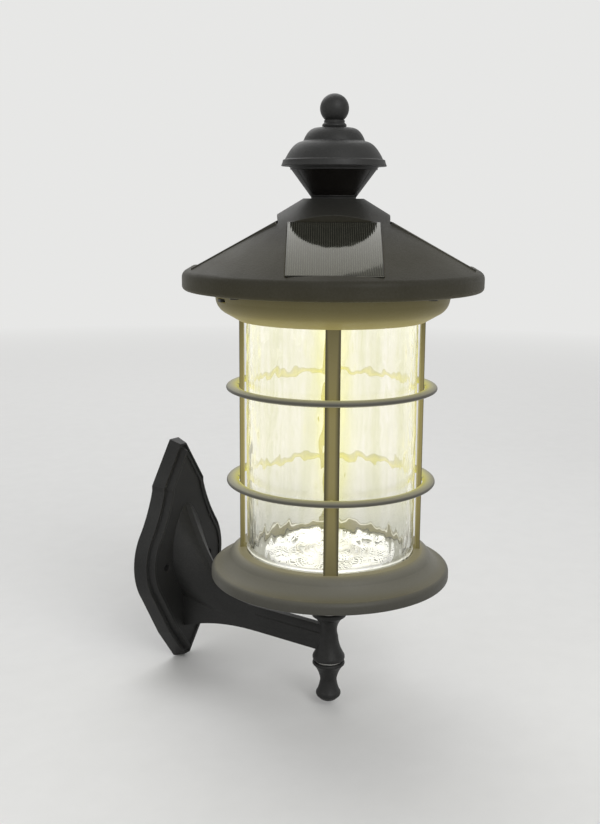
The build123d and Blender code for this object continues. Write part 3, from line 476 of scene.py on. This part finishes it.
# %% Finish of every solid
FINISH_OF = {
    casing: [
        "wall_plate",
        "bracket_arm",
        "lower_finial",
        "sensor_housing",
        "finial_cap",
        "finial_collar",
        "ball_finial",
    ],
    casing_dish: ["base_dish", "base_pan"],
    casing_cup: ["lower_cup"],
    casing_roof: ["roof_shell"],
    casing_bars: [name for name in nodes if name.startswith("cage_bar")],
    casing_rings: ["ring_lower", "ring_upper", "ring_rivets"],
    steel: [
        "arm_screws",
        "stem_bolt",
        "pivot_washer",
        "finial_washer",
        "reflector_screws",
        "reflector_carrier",
        "led_screws",
        "tie_rod",
        "tie_nut",
    ],
    black_steel: ["pan_screws", "roof_screws", "bar_screws"],
    rubber: ["lower_gasket", "upper_gasket"],
    plastic: ["mode_switch", "switch_body", "battery_tray"],
    green_board: ["control_board", "pir_board"],
    white_board: ["led_board"],
    led_glow: ["led_emitters"],
    lens_glow: ["led_lens"],
    sleeve: ["battery_cells"],
    window: ["sensor_window"],
}
for finish, names in FINISH_OF.items():
    for name in names:
        mesh = nodes[name].data
        mesh.materials.clear()
        mesh.materials.append(finish)
print("finished solids:", sum(len(names) for names in FINISH_OF.values()))

# %% [markdown]
# ## A new piece
#
# Each rebuilt piece starts as a small mesh, is shaped with mesh operators and then becomes an object. This
# helper ends every one of them the same way: doubles merged, faces outwards, smooth shading, its place in
# its mesh, on its body, in place of its solid.


# %% Finish off a piece
MERGE = 1e-6
SHARP_FROM = math.radians(35.0)


def piece(name, work, finish, stands_for, place=None, smooth=True, body="lantern"):
    bmesh.ops.remove_doubles(work, verts=work.verts, dist=MERGE)
    bmesh.ops.recalc_face_normals(work, faces=work.faces)
    mesh = bpy.data.meshes.new(name)
    work.transform(place or Matrix())
    work.to_mesh(mesh)
    work.free()
    for face in mesh.polygons:
        face.use_smooth = smooth
    mesh.set_sharp_from_angle(angle=SHARP_FROM)
    mesh.materials.append(finish)
    made = bpy.data.objects.new(name, mesh)
    bpy.context.scene.collection.objects.link(made)
    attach(made, body)
    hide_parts(*stands_for)
    print(name, "faces:", len(mesh.polygons))


print("points closer than", MERGE, "are merged")

# %% [markdown]
# ## The rippled glass
#
# The glass is a tube that was blown and left uneven: what lies behind it breaks into zigzags. A bump map would
# show ripples but the outline would stay dead straight, so the ripples are real. The wall's section is spun
# round the axis, and then each point of the outer face sinks by a smooth noise a few tenths of a
# millimetre deep. The inner face stays plain, so the wall works as thousands of weak prisms.
#
# The lit glass has a faint glow of its own: cream, yellower beside the bars, and fading towards the foot, where
# the glass is clear. A thin white line at the very foot is the light caught in the glass's lower edge.

# %% Glass finish
FOOT_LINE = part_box("base_dish")[1].z + 0.0011
FOOT_WIDTH = 0.00035
CLEAR_TO = FOOT_LINE + 0.004
CREAM_FROM = FOOT_LINE + 0.060
BAR_GLOW_WIDTH = 0.011
glass = Finish("warm_glass", Roughness=0.012, IOR=1.45, Transmission_Weight=1.0, Emission_Strength=1.0)
streaks = glass.clouds(0.008, 3.0, 0.55, glass.on_head((1.0, 1.0, 25.0))).between(0.38, 0.66)
off_bar = glass.off_bar()
by_bar = (0.0 - off_bar * off_bar / BAR_GLOW_WIDTH**2).of("EXPONENT")
height = glass.from_axis()[2]
risen = height.between(CLEAR_TO, CREAM_FROM)
off_foot = (height - FOOT_LINE) / FOOT_WIDTH
foot = (0.0 - off_foot * off_foot).of("EXPONENT")
cream = glass.mix(streaks, (0.138, 0.133, 0.112), (0.106, 0.104, 0.064))
cream = glass.mix(by_bar * 0.80, cream, (0.180, 0.170, 0.030))
cream = glass.mix(risen, (0.026, 0.026, 0.022), cream)
clear = glass.mix(streaks, (0.84, 0.83, 0.81), (0.77, 0.77, 0.66))
glass_finish = glass.show(
    Base_Color=glass.mix(risen, (0.74, 0.74, 0.70), clear),
    Emission_Color=glass.mix(foot, cream, (0.60, 0.60, 0.57)),
)
print(glass_finish.name)

# %% Glass tube
GLASS_WALL = 0.003
RIPPLE = 0.00036
GLASS_STEPS = 384
GLASS_ROWS = 118
PLAIN_END = 0.002


def ripple(place):
    """Height of the ripples at a place on the glass, at most 0."""
    broad = noise.noise(Vector((place.x * 150, place.y * 150, place.z * 85)))
    fine = noise.noise(Vector((place.x * 330 + 9, place.y * 330, place.z * 130)))
    return RIPPLE * (broad + 0.5 * fine - 1.5)


def glass_tube():
    work = bmesh.new()
    rise = (GLASS_HIGH - GLASS_LOW) / GLASS_ROWS
    corners = [work.verts.new((GLASS_R, 0, GLASS_LOW + k * rise)) for k in range(GLASS_ROWS + 1)]
    inner = [work.verts.new((GLASS_R - GLASS_WALL, 0, z)) for z in (GLASS_HIGH, GLASS_LOW)]
    section = corners + inner
    edges = [work.edges.new(pair) for pair in zip(section, section[1:] + section[:1])]
    outline = section + edges
    bmesh.ops.spin(work, geom=outline, axis=(0, 0, 1), angle=math.tau, steps=GLASS_STEPS, use_merge=True)
    for vert in work.verts:
        radius = vert.co.xy.length
        off_end = min(vert.co.z - GLASS_LOW, GLASS_HIGH - vert.co.z)
        if radius > GLASS_R - GLASS_WALL / 3 and off_end > PLAIN_END:
            vert.co.xy *= (radius + ripple(vert.co)) / radius
    return work


piece("rippled_glass", glass_tube(), glass_finish, ["glass_cylinder"], HEAD)

# %% [markdown]
# ## The fluted reflector
#
# A bright pressed plate fills the dish. It has rings of small raised pads, which throw the light about. Its
# glow is painted light from the LEDs above it, and the dark dots in radial rows, where the pads would reflect
# the metal around them, are a painted reflection. A disc cut into rings and sectors is poked, which raises a
# low pyramid on every field.

# %% Reflector finish
REFLECTOR_R = 0.0452
HUB_R = 0.004
PAD_RINGS = 12
PAD_SECTORS = 60
PAD_HEIGHT = 0.0007
mirror = Finish("reflector_with_painted_glow", Metallic=1.0, Emission_Strength=1.0)
smear = mirror.clouds(0.006, 2.0)
across_plate, along_plate, _ = mirror.parts(mirror.on_head())
from_axis = (across_plate * across_plate + along_plate * along_plate).of("SQRT")
round_axis = across_plate.math("ARCTAN2", across_plate, along_plate)
ring_wave = (from_axis * (math.tau * PAD_RINGS / (REFLECTOR_R - HUB_R))).of("SINE")
sector_wave = (round_axis * PAD_SECTORS).of("COSINE")
# Painted reflection: dark dots in radial rows, where the pads would mirror the metal around them.
dot = (ring_wave * sector_wave).between(0.20, 0.60) * mirror.clouds(0.012, 2.0).between(0.42, 0.54)
# The emission is painted light from the LEDs above the plate.
reflector_painted_light = mirror.show(
    Base_Color=mirror.mix(dot, mirror.mix(smear, (0.88, 0.88, 0.88), (0.96, 0.96, 0.96)), (0.05, 0.05, 0.05)),
    Roughness=0.30 + smear * 0.15,
    Emission_Color=mirror.mix(dot, mirror.mix(smear, (0.46, 0.46, 0.49), (0.66, 0.66, 0.70)), BLACK),
)
print(reflector_painted_light.name)

# %% Reflector plate
REFLECTOR_LOW, REFLECTOR_TOP = (corner.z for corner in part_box("reflector"))
PLATE_LEVEL = REFLECTOR_TOP - 0.0012


def spun(work, section, steps):
    """Turn a line of (radius, height) pairs round the upright axis."""
    line = [work.verts.new((radius, 0, z)) for radius, z in section]
    edges = [work.edges.new(pair) for pair in zip(line, line[1:])]
    bmesh.ops.spin(work, geom=line + edges, axis=(0, 0, 1), angle=math.tau, steps=steps, use_merge=True)


def reflector_plate():
    work = bmesh.new()
    ring = (REFLECTOR_R - HUB_R) / PAD_RINGS
    spun(work, [(HUB_R + ring * k, PLATE_LEVEL) for k in range(PAD_RINGS + 1)], PAD_SECTORS)
    bmesh.ops.poke(work, faces=work.faces[:], offset=PAD_HEIGHT)
    hub = bmesh.ops.create_circle(work, cap_ends=True, segments=PAD_SECTORS, radius=HUB_R)
    bmesh.ops.translate(work, verts=hub["verts"], vec=(0, 0, PLATE_LEVEL))
    rolled_rim = [
        (REFLECTOR_R, PLATE_LEVEL),
        (REFLECTOR_R, REFLECTOR_TOP - 0.0003),
        (REFLECTOR_R + 0.0006, REFLECTOR_TOP),
        (REFLECTOR_R + 0.0012, REFLECTOR_TOP - 0.0004),
        (REFLECTOR_R + 0.0013, REFLECTOR_LOW),
        (0.0, REFLECTOR_LOW),
    ]
    spun(work, rolled_rim, PAD_SECTORS)
    return work


piece("fluted_reflector", reflector_plate(), reflector_painted_light, ["reflector"], HEAD, smooth=False)

# %% [markdown]
# ## The solar panels
#
# Each panel is a sheet of dark silicon under clear glass, with fine silver fingers running up the slope. From
# a low angle the glass shows the sky as a pale sheen and the cap above as a black arc, so the gloss matters
# more than the blue of the cells. Seen edge-on, the panel is painted black: a mix with a matt black at a
# grazing look is painted shade in place of the glass's sheen there. The fingers could be geometry, but they are
# printed on, so a flat map and a wave across it draw them. One slab with rounded edges is made flat, gets that
# map, and is then laid into each of the roof's four pockets. It stands a little proud, which shows its edge on
# the roofline.

# %% Panel finish
FINGERS = 43
panel = Finish("solar_cells", IOR=1.5, Specular_Tint=(1.0, 0.97, 0.80))
across, up, _ = panel.parts(panel.node("ShaderNodeTexCoord", out="UV"))
ridge = (across * (math.tau * FINGERS)).of("SINE")
border = (across - 0.5).of("ABSOLUTE").above((up - 0.5).of("ABSOLUTE")).between(0.486, 0.488)
grain = panel.clouds(0.004, 3.0)
wave = panel.clouds(0.014, 2.0)
silicon = panel.mix(grain, (0.013, 0.013, 0.010), (0.024, 0.024, 0.019))
cells = panel.mix(ridge.between(0.45, 1.0) * 0.26, silicon, (0.17, 0.17, 0.13))
panel.show(
    Base_Color=panel.mix(border, cells, (0.008, 0.008, 0.008)),
    Roughness=0.045 + grain * 0.06,
    Normal=panel.bump(ridge, 0.000004, panel.bump(wave, 0.00012)),
)
# Painted shade: at a grazing look the panel's gloss is mixed into a matt black.
painted_edge_shade_mask = panel.node("ShaderNodeLayerWeight", out="Facing").between(0.84, 0.90)
matt = panel.node("ShaderNodeBsdfDiffuse", {}, {"Color": (0.006, 0.006, 0.006)})
gloss = Term(panel, panel.shader.outputs[0])
gloss_or_painted_edge_shade = panel.node("ShaderNodeMixShader", {}, {0: painted_edge_shade_mask, 1: gloss, 2: matt})
panel.feed(panel.tree.nodes["Material Output"].inputs["Surface"], gloss_or_painted_edge_shade)
panel_finish = panel.material
print(panel_finish.name, "fingers:", FINGERS)

# %% Panels in their pockets
PANEL_W = 0.060
PANEL_L = 0.064
PANEL_THICK = 0.0043
PANEL_PROUD = 0.0017
PANEL_EDGE = 0.00045
PANEL_SLOPE = math.radians(29.0)
PANEL_IN = 0.0374
PANEL_TOP = Vector((0.0, -PANEL_IN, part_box("solar_panel_front")[1].z))


def panel_slab():
    work = bmesh.new()
    bmesh.ops.create_cube(work, size=1.0)
    bmesh.ops.scale(work, vec=(PANEL_W, PANEL_L, PANEL_THICK), verts=work.verts)
    bmesh.ops.bevel(work, geom=work.edges[:], offset=PANEL_EDGE, segments=3, profile=0.5, affect="EDGES")
    lines = work.loops.layers.uv.new("lines")
    for face in work.faces:
        for loop in face.loops:
            loop[lines].uv = (loop.vert.co.x / PANEL_W + 0.5, loop.vert.co.y / PANEL_L + 0.5)
    bmesh.ops.translate(work, verts=work.verts, vec=(0, -PANEL_L / 2, PANEL_PROUD - PANEL_THICK / 2))
    return work


lay = Matrix.Translation(PANEL_TOP) @ Matrix.Rotation(PANEL_SLOPE, 4, "X")
for turn, side in enumerate(("front", "right", "back", "left")):
    place = HEAD @ Matrix.Rotation(turn * math.pi / 2, 4, "Z") @ lay
    piece(f"panel_{side}", panel_slab(), panel_finish, [f"solar_panel_{side}"], place, smooth=False)

# %% [markdown]
# ## The cap and its collar
#
# The cap is a casting in two soft steps, a low dome on a bell, with a small bead above the brim. Such a form
# is a section turned round an axis. The section is written as a few curved strokes, each an end point with its
# two handles, and is closed through the hollow under the cap. The collar is turned the same way: a cup that
# holds the ball, a waist and a round bead.

# %% Sections with curved strokes
SPIN_STEPS = 96
BORE_R = 0.0028


def strokes(start, *steps):
    """A line through points in millimetres. A step is a point, or two handles and a point."""
    line = [start]
    for step in steps:
        if isinstance(step[0], tuple):
            knots = [Vector((*point, 0.0)) for point in (line[-1], *step)]
            curve = geometry.interpolate_bezier(*knots, 12)
            line += [(point.x, point.y) for point in curve[1:]]
        else:
            line.append(step)
    return line


def turned(section, top):
    work = bmesh.new()
    in_metres = [(radius / 1000.0, top + height / 1000.0) for radius, height in section]
    spun(work, in_metres + in_metres[:1], SPIN_STEPS)
    return work


print("turned pieces have", SPIN_STEPS, "sides")

# %% Cap and collar
CAP_LOW, CAP_TOP = (corner.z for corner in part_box("finial_cap"))
CAP_H = (CAP_TOP - CAP_LOW) * 1000.0
bore = BORE_R * 1000.0
cap_section = strokes(
    (bore, 0.0),
    (12.0, 0.0),
    ((16.2, -0.3), (19.0, -4.0), (20.5, -8.1)),
    ((20.7, -8.7), (21.2, -8.8), (21.8, -8.95)),
    ((26.6, -9.9), (29.8, -14.4), (32.9, -20.4)),
    ((33.1, -20.9), (34.2, -20.7), (34.4, -21.4)),
    ((34.6, -22.6), (35.0, -23.6), (35.5, -CAP_H + 0.5)),
    ((35.6, -CAP_H + 0.2), (35.3, -CAP_H), (34.8, -CAP_H)),
    (27.6, -CAP_H),
    (27.6, -17.2),
    (14.3, -12.2),
    (5.5, -12.2),
    (5.5, -CAP_H),
    (bore, -CAP_H),
)
piece("ogee_cap", turned(cap_section, CAP_TOP), casing, ["finial_cap"], AXIS_PLACE)
collar_section = strokes(
    (bore, 0.0),
    (4.7, 0.0),
    (6.05, 0.85),
    ((6.4, 1.1), (6.9, 1.0), (7.0, 0.5)),
    ((7.1, -0.2), (6.6, -0.7), (7.2, -1.1)),
    ((8.1, -1.5), (8.5, -2.6), (7.9, -3.6)),
    (7.4, -4.0),
    (bore, -4.0),
)
collar_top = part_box("finial_collar")[1].z
piece("turned_collar", turned(collar_section, collar_top), casing, ["finial_collar"], AXIS_PLACE)

# %% [markdown]
# ## Recesses in the screw heads
#
# A screw head with nothing to turn it by looks wrong from near. The solids already give each head and its
# place, so the piece starts from a copy of them. The loose triangles are merged and the flat faces joined, and
# the face that points out of each head is inset, drawn into a six-lobed star and sunk.

# %% Sink the recesses
STAR_SHARE = 0.62
HOLLOW_SHARE = 0.80
LEVEL_WITHIN = 1e-4


def recessed(name, outward, depth):
    """Copy a node's screws and sink a star into the face of each head."""
    work = bmesh.new()
    work.from_mesh(nodes[name].data)
    bmesh.ops.remove_doubles(work, verts=work.verts, dist=MERGE)
    bmesh.ops.dissolve_limit(work, angle_limit=math.radians(1.0), verts=work.verts, edges=work.edges)
    outward = Vector(outward)
    reach = max(vert.co.dot(outward) for vert in work.verts)
    facing = [face for face in work.faces if face.normal.dot(outward) > 0.99]
    heads = [face for face in facing if reach - face.verts[0].co.dot(outward) < LEVEL_WITHIN]
    for head in heads:
        centre = head.calc_center_median()
        bmesh.ops.inset_individual(work, faces=[head], thickness=1e-5)
        for count, vert in enumerate(head.verts):
            share = STAR_SHARE * (HOLLOW_SHARE if count % 4 > 1 else 1.0)
            vert.co = centre + (vert.co - centre) * share
        sunk = bmesh.ops.extrude_discrete_faces(work, faces=[head])["faces"]
        bmesh.ops.translate(work, verts=sunk[0].verts, vec=outward * -depth)
    print(name, "heads:", len(heads))
    return work


SCREW_HEADS = {
    "pan_screws": ((0, 0, -1), 0.0012, black_steel),
    "roof_screws": ((0, 0, -1), 0.0008, black_steel),
    "reflector_screws": ((0, 0, 1), 0.0006, steel),
    "arm_screws": ((0, 1, 0), 0.0014, steel),
}
for name, (outward, depth, finish) in SCREW_HEADS.items():
    body = "bracket" if name == "arm_screws" else "lantern"
    piece(f"recessed_{name}", recessed(name, outward, depth), finish, [name], body=body)

# %% [markdown]
# ## The studio
#
# A pale floor runs into a pale surround, so there is no horizon. The floor is a real surface near the lantern,
# where it takes the shadow, and turns into the surround's plain colour further out. The surround shows at full
# paleness to the camera and in gloss and glass, but lights the lantern at a lower level.

# %% Surround
PALE = (0.80, 0.80, 0.79)
SURROUND_LIGHT = 0.38
world = bpy.data.worlds.new("surround")
world.use_nodes = True
bpy.context.scene.world = world
tree = world.node_tree
tree.nodes.clear()
out = tree.nodes.new("ShaderNodeOutputWorld")
rays = tree.nodes.new("ShaderNodeLightPath")
seen = tree.nodes.new("ShaderNodeMath")
seen.operation = "MAXIMUM"
also = tree.nodes.new("ShaderNodeMath")
also.operation = "MAXIMUM"
pick = tree.nodes.new("ShaderNodeMixShader")
lit = tree.nodes.new("ShaderNodeBackground")
shown = tree.nodes.new("ShaderNodeBackground")
lit.inputs["Color"].default_value = (1, 1, 1, 1)
lit.inputs["Strength"].default_value = SURROUND_LIGHT
shown.inputs["Color"].default_value = (*PALE, 1)
links = [
    (rays.outputs["Is Camera Ray"], seen.inputs[0]),
    (rays.outputs["Is Transmission Ray"], seen.inputs[1]),
    (seen.outputs[0], also.inputs[0]),
    (rays.outputs["Is Glossy Ray"], also.inputs[1]),
    (also.outputs[0], pick.inputs[0]),
    (lit.outputs[0], pick.inputs[1]),
    (shown.outputs[0], pick.inputs[2]),
    (pick.outputs[0], out.inputs["Surface"]),
]
for start, end in links:
    tree.links.new(start, end)
print("surround light:", SURROUND_LIGHT)

# %% Floor
FLOOR_R = 14.0
FLOOR_Z = solid_box[0].z - 0.0006
FADE_FROM = 0.9
FADE_TO = 2.4
floor_finish = Finish("pale_floor", Roughness=0.9)
away = {0: floor_finish.where()}
from_middle = floor_finish.node("ShaderNodeVectorMath", {"operation": "LENGTH"}, away, out="Value")
speckle = floor_finish.clouds(0.02, 3.0)
floor_finish.show(Base_Color=floor_finish.mix(speckle, (0.78, 0.78, 0.77), (0.82, 0.82, 0.81)))
distant = floor_finish.node("ShaderNodeEmission", {}, {"Color": PALE})
solid_floor = Term(floor_finish, floor_finish.shader.outputs[0])
faded = {0: from_middle.between(FADE_FROM, FADE_TO), 1: solid_floor, 2: distant}
blend = floor_finish.node("ShaderNodeMixShader", {}, faded)
output = floor_finish.tree.nodes["Material Output"]
floor_finish.feed(output.inputs["Surface"], blend)
work = bmesh.new()
bmesh.ops.create_circle(work, cap_ends=True, segments=96, radius=FLOOR_R)
floor_mesh = bpy.data.meshes.new("floor")
work.to_mesh(floor_mesh)
work.free()
floor_mesh.transform(Matrix.Translation((0, 0, FLOOR_Z)))
floor_mesh.materials.append(floor_finish.material)
floor = bpy.data.objects.new("floor", floor_mesh)
bpy.context.scene.collection.objects.link(floor)
print("floor at", round(FLOOR_Z, 4))

# %% [markdown]
# ## The lamps
#
# Round, wide lamps give the broad, soft lights that a matt coat needs to show its form. The key stands to the
# right of the camera, a weak fill lights the plate from the left, and a wide one high behind lights the roof
# and the floor. All three are white: the warm light is the lantern's own.


# %% Lamps
def softbox(name, place, aim, width, watts):
    lamp = bpy.data.lights.new(name, "AREA")
    lamp.shape = "DISK"
    lamp.size = width
    lamp.energy = watts
    made = bpy.data.objects.new(name, lamp)
    made.location = place
    made.rotation_euler = (Vector(aim) - Vector(place)).to_track_quat("-Z", "Y").to_euler()
    bpy.context.scene.collection.objects.link(made)


AIM = (0.0, -0.13, 0.10)
softbox("key", (-0.64, -1.30, 1.00), AIM, 1.1, 14.0)
softbox("fill", (-1.45, 0.25, 0.75), AIM, 1.0, 2.0)
softbox("sky", (0.8, 0.8, 1.7), AIM, 2.2, 19.0)

# %% [markdown]
# ## The camera
#
# The photograph looks at the lantern from its left front, a little from above. The lens is long enough to keep
# the roof's ellipses flat.

# %% Camera
LENS = 47.18
CAMERA_PLACE = (-0.6156, -0.5701, 0.2755)
CAMERA_TURN = math.radians(-54.0)
CAMERA_DOWN = math.radians(11.1)
CAMERA_ROLL = math.radians(0.3)
lens = bpy.data.cameras.new("camera")
lens.sensor_width = 36.0
lens.lens = LENS
camera = bpy.data.objects.new("camera", lens)
camera.location = CAMERA_PLACE
aim = Matrix.Rotation(CAMERA_TURN, 4, "Z") @ Matrix.Rotation(math.pi / 2 - CAMERA_DOWN, 4, "X")
camera.rotation_euler = (aim @ Matrix.Rotation(CAMERA_ROLL, 4, "Z")).to_euler()
bpy.context.scene.collection.objects.link(camera)
bpy.context.scene.camera = camera
bpy.context.scene.view_settings.view_transform = "Standard"
print("camera at", tuple(round(v, 3) for v in camera.location))
